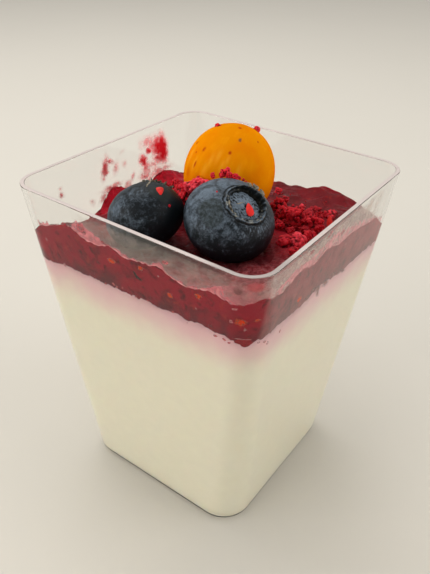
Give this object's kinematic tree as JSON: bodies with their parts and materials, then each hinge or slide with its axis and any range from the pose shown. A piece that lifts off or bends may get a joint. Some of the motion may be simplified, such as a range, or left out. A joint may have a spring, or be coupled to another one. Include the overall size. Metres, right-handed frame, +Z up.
{
  "type": "panna cotta",
  "caption": "Cream panna cotta set in a tapered square clear plastic cup, under a lumpy red fruit coulis topped with blueberries and a physalis.",
  "frame": {"origin": "centre of the cup's base, on the surface it stands on", "axes": "+Z up; the cup's sides face +X, -X, +Y and -Y, and the shown front corner is towards +X and -Y"},
  "size_m": [0.055, 0.055, 0.0791],
  "materials": {
    "clear_plastic": "clear, smooth and glossy, hazy where coulis has smeared inside",
    "cream": "set cream, satin, tinged pink below the coulis",
    "coulis_red": "dark red fruit, moist and uneven",
    "blueberry_skin": "blue-black skin under a dull grey-blue bloom",
    "physalis_skin": "orange skin, smooth with a soft sheen",
    "raspberry_crumb": "freeze-dried raspberry, rough and crimson"
  },
  "bodies": {
    "root": {"cup": "clear_plastic", "panna_cotta": "cream", "coulis": "coulis_red", "blueberry_front": "blueberry_skin", "blueberry_left": "blueberry_skin", "physalis": "physalis_skin"}
  },
  "joints": []
}
